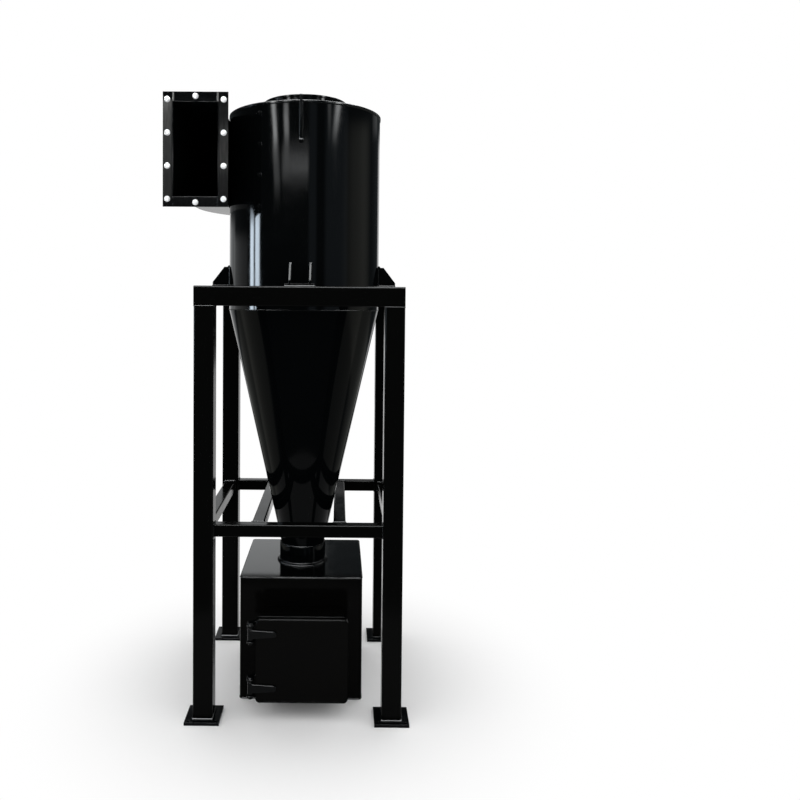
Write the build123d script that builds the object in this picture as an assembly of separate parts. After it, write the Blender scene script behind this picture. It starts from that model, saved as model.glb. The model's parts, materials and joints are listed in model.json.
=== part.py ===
from build123d import *
import math
import os

# Cyclone separator on a square-tube stand, with a dust box below the cone.
# Millimetres, +Z up. The origin is on the floor under the axis of the barrel.
# -Y is the front, where the inlet flange and the dust box door face.

# Stand
frame_width = 840
frame_depth = 840
frame_height = 1755
post_size = 80
post_wall = 5
post_corner = 8
brace_size = 50
brace_wall = 4
brace_corner = 5
brace_top = 797
cap_thickness = 5
foot_width = 140
foot_depth = 134
foot_thickness = 12
anchor_pitch = 110
anchor_hole = 14
cradle_clearance = 2

# Barrel, roof and outlet
barrel_diameter = 668
barrel_wall = 4
barrel_sink = 97
barrel_height = 843
roof_thickness = 8
roof_overhang = 3
outlet_diameter = 356
outlet_wall = 4
outlet_height = 64
outlet_drop = 440
outlet_rim_width = 6
outlet_rim_height = 8

# Spiral inlet
inlet_width = 180
inlet_height = 378
inlet_drop = 7
inlet_reach = 345
inlet_wall = 3
scroll_reach = 152
flange_leg = 42
flange_thickness = 5
flange_hole = 14
flange_edge = 18
flange_rows = 4
flange_row_pitch = 133

# Cone and neck
cone_wall = 4
cone_tip_diameter = 192
neck_diameter = 205
neck_wall = 5
neck_height = 82
collar_wall = 6
collar_height = 10

# Dust box
box_width = 520
box_depth = 512
box_center_x = 5
box_center_y = 20
box_height = 525
box_wall = 4
box_bend = 12

# Door, set from the edges of the box
door_margin_left = 85
door_margin_right = 61
door_margin_bottom = 72
door_margin_top = 112
door_depth = 23
door_wall = 4
door_corner = 18
door_gap = 5
door_lap_side = 17
door_lap_top = 13
door_neck_reach = 130
door_frame_thickness = 8
gasket_inset = 12
gasket_width = 12
gasket_depth = 17

# Hinges
hinge_offset = 20
hinge_pin = 12
hinge_running_gap = 0.05
hinge_barrel = 24
hinge_head = 20
hinge_head_height = 6
knuckle_height = 50
hinge_ear_gap = 5
hinge_ear_thickness = 8
hinge_ear_radius = 15
hinge_ear_root = 30
strap_thickness = 8
strap_length = 105
strap_root_height = 36
strap_tip_height = 24
hinge_end_margin = 60

# Support lugs
gusset_thickness = 8
gusset_spacing = 82
gusset_height = 82
gusset_top_width = 20
gusset_foot_width = 72
gusset_lip = 14
pad_thickness = 10
pad_width = 120

# Lifting lugs
lift_thickness = 10
lift_height = 177
lift_rear_height = 64
lift_projection = 42
lift_above_roof = 13
lift_hole = 22
lift_foot = 8

half_width = frame_width / 2
half_depth = frame_depth / 2
post_x = half_width - post_size / 2
post_y = half_depth - post_size / 2
rail_bottom = frame_height - post_size
barrel_radius = barrel_diameter / 2
barrel_bottom = frame_height - barrel_sink
barrel_top = barrel_bottom + barrel_height
roof_top = barrel_top + roof_thickness
outlet_radius = outlet_diameter / 2
neck_radius = neck_diameter / 2
cone_tip_radius = cone_tip_diameter / 2
cone_tip_height = box_height + neck_height
inlet_top = barrel_top - inlet_drop
inlet_bottom = inlet_top - inlet_height
inlet_inner_x = -barrel_radius - inlet_wall
inlet_outer_x = inlet_inner_x - inlet_width
box_front = box_center_y - box_depth / 2
door_left = box_center_x - box_width / 2 + door_margin_left
door_right = box_center_x + box_width / 2 - door_margin_right
door_top = box_height - door_margin_top
door_middle = ((door_left + door_right) / 2, (door_margin_bottom + door_top) / 2)
neck_width = door_right - door_left - 2 * door_lap_side
neck_tall = door_top - door_margin_bottom - 2 * door_lap_top
door_frame_front = box_front - door_neck_reach - door_frame_thickness
door_back = door_frame_front - door_gap
door_front = door_back - door_depth
hinge_x = door_left - hinge_offset
hinge_y = door_front - strap_thickness + hinge_barrel / 2
sides = {"front": -90, "right": 0, "rear": 90, "left": 180}
corners = {
    "front_left": (-1, -1),
    "front_right": (1, -1),
    "rear_left": (-1, 1),
    "rear_right": (1, 1),
}
parts = {}


def box(x_min, x_max, y_min, y_max, z_min, z_max):
    size = (x_max - x_min, y_max - y_min, z_max - z_min)
    middle = ((x_min + x_max) / 2, (y_min + y_max) / 2, (z_min + z_max) / 2)
    return Pos(*middle) * Box(*size)


def ring(outer_radius, inner_radius, z_min, z_max):
    profile = Circle(outer_radius) - Circle(inner_radius)
    return Pos(0, 0, z_min) * extrude(profile, z_max - z_min)


def cylinder(radius, z_min, z_max, x=0, y=0):
    return Pos(x, y, z_min) * extrude(Circle(radius), z_max - z_min)


def square_tube(size, wall, corner, length):
    # A closed square tube along +Z with rounded long edges and a cap in each end.
    outer = extrude(RectangleRounded(size, size, corner), length)
    inside = size - 2 * wall
    hollow = extrude(Rectangle(inside, inside), length - 2 * cap_thickness)
    return outer - Pos(0, 0, cap_thickness) * hollow


def lay_tube(size, wall, corner, start, end):
    # The same tube from one end point to the other, along X or Y.
    along_x = start[1] == end[1]
    length = (end[0] - start[0]) if along_x else (end[1] - start[1])
    tube = square_tube(size, wall, corner, length)
    turn = Rot(0, 90, 0) if along_x else Rot(-90, 0, 0)
    return Pos(*start) * turn * tube


def upright(profile, back, front):
    # A profile drawn in X and Z round the middle of the door, from its back face to its front face.
    middle_x, middle_z = door_middle
    return Pos(middle_x, back, middle_z) * (Plane.XZ * extrude(profile, back - front))


def build_posts():
    for corner, (side_x, side_y) in corners.items():
        tube = square_tube(post_size, post_wall, post_corner, rail_bottom - foot_thickness)
        place = Pos(side_x * post_x, side_y * post_y, foot_thickness)
        parts["post_" + corner] = place * tube


def build_feet():
    # Each foot has its two anchor holes on the outer side of the post.
    for corner, (side_x, side_y) in corners.items():
        plate = extrude(Rectangle(foot_width, foot_depth), foot_thickness)
        hole_y = side_y * anchor_pitch / 2
        for side in (-1, 1):
            plate -= cylinder(anchor_hole / 2, 0, foot_thickness, side * anchor_pitch / 2, hole_y)
        parts["foot_plate_" + corner] = Pos(side_x * post_x, side_y * post_y, 0) * plate


def build_rails():
    rail_z = frame_height - post_size / 2
    brace_z = brace_top - brace_size / 2
    inner_x = half_width - post_size
    inner_y = half_depth - post_size
    rail = (post_size, post_wall, post_corner)
    brace = (brace_size, brace_wall, brace_corner)
    for name, side in (("front", -1), ("rear", 1)):
        y = side * post_y
        parts["top_rail_" + name] = lay_tube(*rail, (-half_width, y, rail_z), (half_width, y, rail_z))
        parts["mid_rail_" + name] = lay_tube(*brace, (-inner_x, y, brace_z), (inner_x, y, brace_z))
    for name, side in (("left", -1), ("right", 1)):
        x = side * post_x
        parts["top_rail_" + name] = lay_tube(*rail, (x, -inner_y, rail_z), (x, inner_y, rail_z))
        parts["mid_rail_" + name] = lay_tube(*brace, (x, -inner_y, brace_z), (x, inner_y, brace_z))


def cone_radius_at(z):
    share = (z - cone_tip_height) / (barrel_bottom - cone_tip_height)
    return cone_tip_radius + share * (barrel_radius - cone_tip_radius)


def build_cradle():
    # Two beams between the mid rails, one on each side of the cone.
    beam_z = brace_top - brace_size / 2
    beam_x = cone_radius_at(brace_top) + cradle_clearance + brace_size / 2
    end_y = post_y - brace_size / 2
    for name, side in (("left", -1), ("right", 1)):
        x = side * beam_x
        beam = lay_tube(brace_size, brace_wall, brace_corner, (x, -end_y, beam_z), (x, end_y, beam_z))
        parts["cradle_beam_" + name] = beam


def scroll_arc(center_x, center_y, radius, start):
    # A quarter turn clockwise, seen from above.
    return CenterArc((center_x, center_y), radius, start, -90)


def scroll_region(inset=0):
    # The plan of the spiral duct inside its outer wall. The wall is two quarter arcs round the rear.
    # Each arc's centre lies one step nearer to the end than the last, so the wall closes on the barrel.
    start_radius = barrel_radius + scroll_reach
    gain = start_radius**2 - barrel_radius**2
    step = (3 * start_radius - math.sqrt(9 * start_radius**2 - 10 * gain)) / 10
    first = scroll_arc(-step, 0, start_radius - step - inset, 180)
    second = scroll_arc(-step, step, start_radius - 2 * step - inset, 90)
    mouth_outer = (inlet_outer_x - inlet_wall + inset, -inlet_reach)
    mouth_inner = (inlet_inner_x, -inlet_reach)
    edges = [
        Line(mouth_outer, first @ 0),
        first,
        second,
        Line(second @ 1, (0, 0)),
        Line((0, 0), (inlet_inner_x, 0)),
        Line((inlet_inner_x, 0), mouth_inner),
        Line(mouth_inner, mouth_outer),
    ]
    return make_face(edges)


def build_barrel():
    shell = ring(barrel_radius, barrel_radius - barrel_wall, barrel_bottom, barrel_top)
    window = Pos(0, 0, inlet_bottom) * extrude(scroll_region(inlet_wall), inlet_height)
    parts["barrel_shell"] = shell - window
    parts["roof_plate"] = ring(barrel_radius + roof_overhang, outlet_radius, barrel_top, roof_top)


def build_outlet():
    top = roof_top + outlet_height
    bore = outlet_radius - outlet_wall
    tube = ring(outlet_radius, bore, roof_top - outlet_drop, top)
    rim = ring(outlet_radius + outlet_rim_width, bore, top - outlet_rim_height, top)
    parts["outlet_tube"] = tube + rim


def build_inlet():
    outside = scroll_region()
    barrel_area = Circle(barrel_radius)
    band = outside - scroll_region(inlet_wall) - barrel_area
    parts["inlet_scroll_wall"] = Pos(0, 0, inlet_bottom) * extrude(band, inlet_height)
    cover = outside - barrel_area
    parts["inlet_top_plate"] = Pos(0, 0, inlet_top) * extrude(cover, inlet_wall)
    parts["inlet_bottom_plate"] = Pos(0, 0, inlet_bottom - inlet_wall) * extrude(cover, inlet_wall)
    inner = box(inlet_inner_x, -barrel_radius, -inlet_reach, 0, inlet_bottom, inlet_top)
    parts["inlet_inner_wall"] = inner - cylinder(barrel_radius, inlet_bottom, inlet_top)


def build_inlet_flange():
    # An angle frame round the mouth of the duct: one leg faces the front, the other lies along the duct.
    middle_x = (inlet_inner_x + inlet_outer_x) / 2
    middle_z = (inlet_top + inlet_bottom) / 2
    mouth = Rectangle(inlet_width + 2 * inlet_wall, inlet_height + 2 * inlet_wall)
    face = Rectangle(inlet_width + 2 * flange_leg, inlet_height + 2 * flange_leg) - mouth
    seat = inlet_wall + flange_thickness
    sleeve = Rectangle(inlet_width + 2 * seat, inlet_height + 2 * seat) - mouth
    column_x = inlet_width / 2 + flange_leg - flange_edge
    row_top = flange_row_pitch * (flange_rows - 1) / 2
    end_z = inlet_height / 2 + flange_leg - flange_edge
    places = [(side * column_x, row_top - row * flange_row_pitch) for side in (-1, 1) for row in range(flange_rows)]
    places += [(0, end_z), (0, -end_z)]
    holes = [Pos(x, z) * Circle(flange_hole / 2) for x, z in places]
    plate = extrude(face - (Sketch() + holes), flange_thickness)
    back_leg = extrude(sleeve, flange_leg)
    place = Pos(middle_x, -inlet_reach, middle_z) * Rot(-90, 0, 0)
    parts["inlet_flange"] = place * (plate + back_leg)


def build_cone():
    outline = make_face(
        Polyline(
            (cone_tip_radius, 0, cone_tip_height),
            (barrel_radius, 0, barrel_bottom),
            (barrel_radius - cone_wall, 0, barrel_bottom),
            (cone_tip_radius - cone_wall, 0, cone_tip_height),
            close=True,
        )
    )
    parts["cone_shell"] = revolve(outline, Axis.Z)


def build_neck():
    # A sleeve with a lip at its top, which the tip of the cone stands on.
    bore = cone_tip_radius - cone_wall
    lip_bottom = cone_tip_height - neck_wall
    sleeve = ring(neck_radius, neck_radius - neck_wall, box_height, cone_tip_height)
    parts["neck_sleeve"] = sleeve + ring(neck_radius, bore, lip_bottom, cone_tip_height)
    collar_radius = neck_radius + collar_wall
    parts["box_collar"] = ring(collar_radius, neck_radius, box_height, box_height + collar_height)


def build_dust_box():
    outline = Pos(box_center_x, box_center_y) * RectangleRounded(box_width, box_depth, box_bend)
    inside_width = box_width - 2 * box_wall
    inside_depth = box_depth - 2 * box_wall
    inside_bend = box_bend - box_wall
    inside = Pos(box_center_x, box_center_y) * RectangleRounded(inside_width, inside_depth, inside_bend)
    inner_top = box_height - box_wall
    parts["dust_box_floor"] = extrude(outline, box_wall)
    top = Pos(0, 0, inner_top) * extrude(outline, box_wall)
    parts["dust_box_top"] = top - cylinder(neck_radius - neck_wall, inner_top, box_height)
    wrapper = Pos(0, 0, box_wall) * extrude(outline - inside, inner_top - box_wall)
    way_in = Rectangle(neck_width - 2 * door_wall, neck_tall - 2 * door_wall)
    parts["dust_box_shell"] = wrapper - upright(way_in, box_front + box_wall, box_front)


def build_door_neck():
    # A short square neck on the front of the box, with a flange and a seal for the door.
    outside = RectangleRounded(neck_width, neck_tall, 2 * door_wall)
    inside = RectangleRounded(neck_width - 2 * door_wall, neck_tall - 2 * door_wall, door_wall)
    neck_front = box_front - door_neck_reach
    parts["dust_box_neck"] = upright(outside - inside, box_front, neck_front)
    seal_inset = door_wall + gasket_inset
    seal_width = door_right - door_left - 2 * seal_inset
    seal_tall = door_top - door_margin_bottom - 2 * seal_inset
    hole = Rectangle(seal_width - 2 * gasket_width, seal_tall - 2 * gasket_width)
    parts["door_frame"] = upright(door_outline() - hole, neck_front, door_frame_front)
    seal = Rectangle(seal_width, seal_tall) - hole
    parts["door_gasket"] = upright(seal, door_frame_front, door_frame_front - gasket_depth)


def door_outline(inset=0):
    width = door_right - door_left - 2 * inset
    tall = door_top - door_margin_bottom - 2 * inset
    return RectangleRounded(width, tall, door_corner - inset)


def build_door():
    pan = upright(door_outline(), door_back, door_front)
    parts["dust_door"] = pan - upright(door_outline(door_wall), door_back, door_front + door_wall)


def build_strap(middle):
    # A tapered plate on the front of the door, with a knuckle that turns on the pin.
    low = middle - knuckle_height / 2
    high = middle + knuckle_height / 2
    root = strap_root_height / 2
    tip = strap_tip_height / 2
    end = strap_length - tip
    outline = make_face(
        [
            Line((0, root), (0, -root)),
            Line((0, -root), (end, -tip)),
            ThreePointArc((end, -tip), (strap_length, 0), (end, tip)),
            Line((end, tip), (0, root)),
        ]
    )
    plate = Pos(hinge_x, door_front, middle) * (Plane.XZ * extrude(outline, strap_thickness))
    knuckle = cylinder(hinge_barrel / 2, low, high, hinge_x, hinge_y)
    bore = cylinder(hinge_pin / 2 + hinge_running_gap, low, high, hinge_x, hinge_y)
    return plate + knuckle - bore


def build_bracket(middle):
    # Two ears on the side of the door neck, joined by the pin and its two heads.
    ear_bottom = knuckle_height / 2 + hinge_ear_gap
    ear_top = ear_bottom + hinge_ear_thickness
    neck_left = door_left + door_lap_side
    neck_front = box_front - door_neck_reach
    back = neck_front + hinge_ear_root
    clear_x = hinge_x + hinge_ear_radius
    outer_x = hinge_x - hinge_ear_radius
    outline = make_face(
        [
            Line((clear_x, hinge_y), (clear_x, door_frame_front)),
            Line((clear_x, door_frame_front), (door_left, door_frame_front)),
            Line((door_left, door_frame_front), (door_left, neck_front)),
            Line((door_left, neck_front), (neck_left, neck_front)),
            Line((neck_left, neck_front), (neck_left, back)),
            Line((neck_left, back), (outer_x, door_frame_front)),
            Line((outer_x, door_frame_front), (outer_x, hinge_y)),
            ThreePointArc((outer_x, hinge_y), (hinge_x, hinge_y - hinge_ear_radius), (clear_x, hinge_y)),
        ]
    )
    ear = extrude(outline, hinge_ear_thickness)
    bracket = Pos(0, 0, middle + ear_bottom) * ear + Pos(0, 0, middle - ear_top) * ear
    bracket += cylinder(hinge_pin / 2, middle - ear_top, middle + ear_top, hinge_x, hinge_y)
    for start in (middle + ear_top, middle - ear_top - hinge_head_height):
        bracket += cylinder(hinge_head / 2, start, start + hinge_head_height, hinge_x, hinge_y)
    return bracket


def build_hinges():
    middles = (door_margin_bottom + hinge_end_margin, door_top - hinge_end_margin)
    parts["hinge_straps"] = Compound(children=[build_strap(middle) for middle in middles])
    parts["hinge_leaves"] = Compound(children=[build_bracket(middle) for middle in middles])


def build_support_lugs():
    # Two gusset plates on a pad, from the side of the barrel out over the top rail.
    outer = barrel_radius + gusset_foot_width
    gusset_bottom = frame_height + pad_thickness
    gusset_top = gusset_bottom + gusset_height
    profile = make_face(
        Polyline(
            (0, 0, gusset_bottom),
            (outer, 0, gusset_bottom),
            (outer, 0, gusset_bottom + gusset_lip),
            (barrel_radius + gusset_top_width, 0, gusset_top),
            (0, 0, gusset_top),
            close=True,
        )
    )
    plate = extrude(profile, gusset_thickness / 2, both=True)
    for name, angle in sides.items():
        lug = box(0, outer, -pad_width / 2, pad_width / 2, frame_height, gusset_bottom)
        for side in (-1, 1):
            lug += Pos(0, side * gusset_spacing / 2, 0) * plate
        lug -= cylinder(barrel_radius, frame_height, gusset_top)
        parts["support_lug_" + name] = Rot(0, 0, angle) * lug


def build_lifting_lugs():
    # The front lug runs down the barrel. The rear one stands on the cover of the spiral inlet.
    outer = barrel_radius + lift_projection
    edge_x = barrel_radius + roof_overhang
    cover = inlet_top + inlet_wall
    front_top = roof_top + lift_above_roof
    front_bottom = front_top - lift_height
    front_edge = [
        (outer, 0, front_top - lift_height / 2),
        (barrel_radius + lift_foot, 0, front_bottom),
        (barrel_radius, 0, front_bottom),
    ]
    rear_edge = [(outer, 0, cover), (barrel_radius, 0, cover)]
    lugs = {"front": (front_top, front_edge), "rear": (cover + lift_rear_height, rear_edge)}
    for name, (top, lower_edge) in lugs.items():
        upper_edge = [(barrel_radius, 0, barrel_top), (edge_x, 0, barrel_top), (edge_x, 0, top), (outer, 0, top)]
        profile = make_face(Polyline(*upper_edge, *lower_edge, close=True))
        plate = extrude(profile, lift_thickness / 2, both=True)
        eye = Pos(barrel_radius + lift_projection / 2, 0, top - lift_hole) * Rot(90, 0, 0)
        plate -= eye * Cylinder(lift_hole / 2, 2 * lift_thickness)
        parts["lifting_lug_" + name] = Rot(0, 0, sides[name]) * plate


def write_parts():
    os.makedirs("parts", exist_ok=True)
    for name, shape in parts.items():
        export_step(shape, "parts/" + name + ".step")


build_posts()
build_feet()
build_rails()
build_cradle()
build_barrel()
build_outlet()
build_inlet()
build_inlet_flange()
build_cone()
build_neck()
build_dust_box()
build_door_neck()
build_door()
build_hinges()
build_support_lugs()
build_lifting_lugs()
write_parts()
print(len(parts), "parts")
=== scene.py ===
# %% [markdown]
# A dust cyclone on a square-tube stand, finished in gloss black paint.
# The metal was measured and modelled beforehand, and it arrives here as a fixed frame of named
# pieces. This file adds what a painter, a welder and a photographer would add: the paint, the
# weld beads, the bolts, the floor, the light and the camera.

# %% Load the frame
import json
import math

import bpy
from mathutils import Matrix, Vector


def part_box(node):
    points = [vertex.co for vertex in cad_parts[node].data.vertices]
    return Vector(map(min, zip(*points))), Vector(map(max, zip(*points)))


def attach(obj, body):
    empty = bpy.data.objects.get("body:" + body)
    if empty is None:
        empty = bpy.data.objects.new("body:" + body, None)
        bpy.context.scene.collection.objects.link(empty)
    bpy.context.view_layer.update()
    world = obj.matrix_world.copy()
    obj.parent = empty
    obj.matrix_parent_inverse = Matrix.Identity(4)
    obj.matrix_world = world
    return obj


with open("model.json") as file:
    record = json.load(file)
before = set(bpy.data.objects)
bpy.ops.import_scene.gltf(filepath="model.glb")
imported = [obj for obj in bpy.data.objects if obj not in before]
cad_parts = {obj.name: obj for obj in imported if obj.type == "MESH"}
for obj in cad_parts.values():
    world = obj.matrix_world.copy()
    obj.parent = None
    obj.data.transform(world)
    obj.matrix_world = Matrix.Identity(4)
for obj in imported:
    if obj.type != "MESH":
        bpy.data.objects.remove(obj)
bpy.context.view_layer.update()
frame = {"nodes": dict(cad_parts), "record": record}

nodes = frame["nodes"]
print("pieces in the frame:", len(nodes))

# %% [markdown]
# The camera stands at eye height, 3.4 m in front of the axis, and looks almost level at a tall
# object. Its place, turn and lens were found from the corners of the stand, whose tubes have a
# standard size. The picture is a crop of a wider one, so its optical centre is off the middle,
# which is a lens shift.

# %% Camera
PICTURE_PIXELS = 800
FOCAL_PIXELS = 753.6
OPTICAL_CENTRE = (335.2, 324.6)
SENSOR_MM = 36
CAMERA_PLACE = Vector((0.156, -3.401, 1.691))
CAMERA_PITCH = math.radians(-1.67)
CAMERA_YAW = math.radians(-0.26)
CAMERA_ROLL = math.radians(0.43)


def camera_matrix():
    """The camera's place and turn: it looks along its own -Z, with +Y up in the picture."""
    ahead = Vector((
        math.sin(CAMERA_YAW) * math.cos(CAMERA_PITCH),
        math.cos(CAMERA_YAW) * math.cos(CAMERA_PITCH),
        math.sin(CAMERA_PITCH),
    ))
    level_right = Vector((math.cos(CAMERA_YAW), -math.sin(CAMERA_YAW), 0))
    level_up = level_right.cross(ahead)
    right = math.cos(CAMERA_ROLL) * level_right + math.sin(CAMERA_ROLL) * level_up
    up = math.cos(CAMERA_ROLL) * level_up - math.sin(CAMERA_ROLL) * level_right
    turn = Matrix((right, up, -ahead)).transposed().to_4x4()
    return Matrix.Translation(CAMERA_PLACE) @ turn


camera_data = bpy.data.cameras.new("camera")
camera_data.sensor_width = SENSOR_MM
camera_data.lens = FOCAL_PIXELS / PICTURE_PIXELS * SENSOR_MM
camera_data.shift_x = 0.5 - OPTICAL_CENTRE[0] / PICTURE_PIXELS
camera_data.shift_y = OPTICAL_CENTRE[1] / PICTURE_PIXELS - 0.5
camera = bpy.data.objects.new("camera", camera_data)
camera.matrix_world = camera_matrix()
bpy.context.scene.collection.objects.link(camera)
bpy.context.scene.camera = camera
bpy.context.scene.view_settings.view_transform = "Standard"
print("lens in mm:", round(camera_data.lens, 2))

# %% [markdown]
# Node trees are easier to read when each node is made in one line, so small helpers do that.
# The first one sets the given sockets by name: a plain value is written into the socket, and
# another node's output is linked to it. It serves materials, the world and Geometry Nodes alike.
# The others build on it: sums, a move from one range into another, and a window with soft ends.

# %% Helpers for all node trees
SOFT = {"interpolation_type": "SMOOTHSTEP"}


def add_node(tree, kind, inputs=None, **settings):
    """A new node. Inputs go by socket name or number, as plain values or as outputs to link."""
    node = tree.nodes.new(kind)
    for name, value in settings.items():
        setattr(node, name, value)
    for name, value in (inputs or {}).items():
        if isinstance(value, bpy.types.NodeSocket):
            tree.links.new(value, node.inputs[name])
        else:
            node.inputs[name].default_value = value
    return node


def math_node(tree, operation, *values):
    """The output of a Math node over the given values."""
    inputs = dict(enumerate(values))
    return add_node(tree, "ShaderNodeMath", inputs, operation=operation).outputs[0]


def remap(tree, value, low, high, to_low=0, to_high=1, **settings):
    """A value moved from the range low to high into the range to_low to to_high."""
    inputs = {"Value": value, "From Min": low, "From Max": high,
              "To Min": to_low, "To Max": to_high}
    return add_node(tree, "ShaderNodeMapRange", inputs, **settings).outputs[0]


def soft_window(tree, value, low, high, blur):
    """1 between low and high, falling to 0 over the blur outside them."""
    rise = remap(tree, value, low - blur, low, **SOFT)
    fall = remap(tree, value, high, high + blur, 1, 0, **SOFT)
    return math_node(tree, "MULTIPLY", rise, fall)


print("helpers for node trees are ready")

# %% [markdown]
# Gloss black paint shows almost nothing of itself: the eye reads it by what it mirrors.
# So the room matters as much as the paint. The room here is dim, and a table lists what hangs in
# it: tall soft windows on the left, lamps high up on both sides, and a wide soft box overhead
# that draws the bright lines along the upper edges of rails and door. Each card is a soft patch
# of the sky. Its azimuth is counted from the front in degrees, and lean is how far it shifts
# sideways for each degree up.

# %% The room: its cards
DAYLIGHT = (0.82, 0.96, 1.1)
LAMPLIGHT = (0.97, 0.99, 1)
EARTH = (1, 1, 0.9)
CARDS = [
    # name, azimuth, lean, half width, side blur,
    # lowest elevation, highest elevation, end blur, brightness, colour
    ("window_outer", -82.9, 0, 2.1, 2.6, -4, 5.6, 1.4, 58, DAYLIGHT),
    ("window_inner", -72.3, 0, 2.7, 2.6, -4, 6.2, 1.4, 62, DAYLIGHT),
    ("window_tip", -76, 0, 2, 6, 6, 7.6, 2, 4.5, DAYLIGHT),
    ("window_wall", -147, 0, 14, 8, -8, 5, 2, 0.7, LAMPLIGHT),
    ("window_reveal", -112, 0, 16, 8, -8, 4.2, 1.4, 0.75, LAMPLIGHT),
    ("lamp_left", -46.2, -1.6, 1.2, 3.4, 12.6, 17, 1.2, 29, LAMPLIGHT),
    ("lamp_left_tail", -40.5, -1, 2.4, 4, 9.2, 11.6, 1.2, 5, LAMPLIGHT),
    ("lamp_front_left", -25.6, -0.8, 1.4, 3.8, 12.8, 14, 1.4, 19, LAMPLIGHT),
    ("front_glow", -12, 0, 17, 5, 10, 10.6, 1.2, 7.5, LAMPLIGHT),
    ("lamp_thin", 38.6, 0, 0.8, 3, 15, 17, 3.6, 4.4, LAMPLIGHT),
    ("lamp_right", 55.7, 2.8, 1.6, 3.8, 14.8, 17, 3.2, 28, LAMPLIGHT),
    ("wall_right", 90, 0, 8, 26, -20, 12.5, 1.5, 0.75, EARTH),
    ("wall_front_right", 51, 0, 14, 8, -20, 13, 3, 0.5, DAYLIGHT),
    ("pillar_front_right", 14, 0, 3, 5, -20, 17, 3, 0.5, DAYLIGHT),
    ("wall_high_right", 136, 0, 5, 8, 13, 17, 1, 0.35, LAMPLIGHT),
    ("low_left", -92, 0, 17, 8, -50, -12, 2, 0.75, EARTH),
    ("low_left_far", -140, 0, 25, 20, -50, -12, 2, 0.3, EARTH),
    ("low_right", 84, 0, 18, 6, -50, -12, 2, 0.55, EARTH),
    ("low_right_far", 142, 0, 20, 20, -50, -12, 2, 0.3, EARTH),
    ("soft_box", -30, 0, 46, 14, 42, 91, 2, 60, LAMPLIGHT),
    ("soft_box_rear", 150, 0, 60, 20, 50, 91, 2, 30, LAMPLIGHT),
    ("left_sweep", -171.5, 0, 6, 1.5, 5, 25, 2, 1.6, LAMPLIGHT),
]
print("cards in the room:", len(CARDS))

# %% [markdown]
# The room lights the object in three layers. Mirrored rays see the cards over a dim glow. Diffuse
# light comes evenly from all sides, at a level where a colour renders as it is written. The
# camera sees a white backdrop all round, and mirrored rays see that white only low behind the
# object, where the backdrop's sweep stands in a real studio.

# %% The room: its light
ROOM_LEVEL = 1.0
ROOM_GLOSS = (0.06, 0.07, 0.075)
WHITE = (1, 1, 1, 1)
SWEEP_HALF_WIDTH = 26
SWEEP_SIDE_BLUR = 1.5
SWEEP_TOP = 11
SWEEP_TOP_BLUR = 2
STRAIGHT_DOWN = -90


def angle_node(tree, operation, *values):
    """An angle in degrees, from an operation that gives radians."""
    return math_node(tree, "DEGREES", math_node(tree, operation, *values))


def card_light(tree, azimuth, elevation):
    """The dim glow of the room with the light of every card added to it."""
    light = ROOM_GLOSS
    for _, middle, lean, half, side_blur, low, high, end_blur, level, colour in CARDS:
        shifted = math_node(tree, "MULTIPLY_ADD", elevation, -lean, azimuth)
        centre = middle - lean * (low + high) / 2
        sideways = soft_window(tree, shifted, centre - half, centre + half, side_blur)
        upward = soft_window(tree, elevation, low, high, end_blur)
        patch = math_node(tree, "MULTIPLY", sideways, upward)
        brightness = tuple(level * part for part in colour)
        light = add_node(tree, "ShaderNodeVectorMath", {0: patch, 1: brightness, 2: light},
                         operation="MULTIPLY_ADD").outputs[0]
    return light


def plain_light(tree, colour, level):
    return add_node(tree, "ShaderNodeBackground", {"Color": colour, "Strength": level}).outputs[0]


def build_room():
    world = bpy.data.worlds.new("room")
    bpy.context.scene.world = world
    world.use_nodes = True
    tree = world.node_tree
    tree.nodes.clear()
    direction = add_node(tree, "ShaderNodeTexCoord").outputs["Generated"]
    axes = add_node(tree, "ShaderNodeSeparateXYZ", {0: direction}).outputs
    front = math_node(tree, "MULTIPLY", axes["Y"], -1)
    azimuth = angle_node(tree, "ARCTAN2", axes["X"], front)
    from_behind = angle_node(tree, "ARCTAN2", axes["X"], axes["Y"])
    elevation = angle_node(tree, "ARCSINE", axes["Z"])
    wide = soft_window(tree, from_behind, -SWEEP_HALF_WIDTH, SWEEP_HALF_WIDTH, SWEEP_SIDE_BLUR)
    tall = soft_window(tree, elevation, STRAIGHT_DOWN, SWEEP_TOP, SWEEP_TOP_BLUR)
    sweep = math_node(tree, "MULTIPLY", wide, tall)
    rays = add_node(tree, "ShaderNodeLightPath").outputs
    mirrored = math_node(tree, "MAXIMUM", rays["Is Glossy Ray"], rays["Is Transmission Ray"])
    mirrored_sweep = math_node(tree, "MULTIPLY", mirrored, sweep)
    backdrop = math_node(tree, "MAXIMUM", rays["Is Camera Ray"], mirrored_sweep)
    gloss = plain_light(tree, card_light(tree, azimuth, elevation), 1)
    even = plain_light(tree, WHITE, ROOM_LEVEL)
    room = add_node(tree, "ShaderNodeMixShader", {0: mirrored, 1: even, 2: gloss}).outputs[0]
    white = plain_light(tree, WHITE, 1)
    shown = add_node(tree, "ShaderNodeMixShader", {0: backdrop, 1: room, 2: white})
    add_node(tree, "ShaderNodeOutputWorld", {0: shown.outputs[0]})
    return tree


print("nodes in the room:", len(build_room().nodes))

# %% [markdown]
# All materials start alike: an empty tree and the place on the object, from which every pattern
# is made, so that no pattern slides when a piece moves. Noise seldom leaves the middle of its
# range, so that middle is spread over whatever range a pattern needs.

# %% Helpers for materials
NOISE_MIDDLE = (0.3, 0.7)


def new_material(name):
    """A material, its empty tree, and the place on the object as an output in that tree."""
    material = bpy.data.materials.new(name)
    material.use_nodes = True
    tree = material.node_tree
    tree.nodes.clear()
    return material, tree, add_node(tree, "ShaderNodeTexCoord").outputs["Object"]


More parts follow.
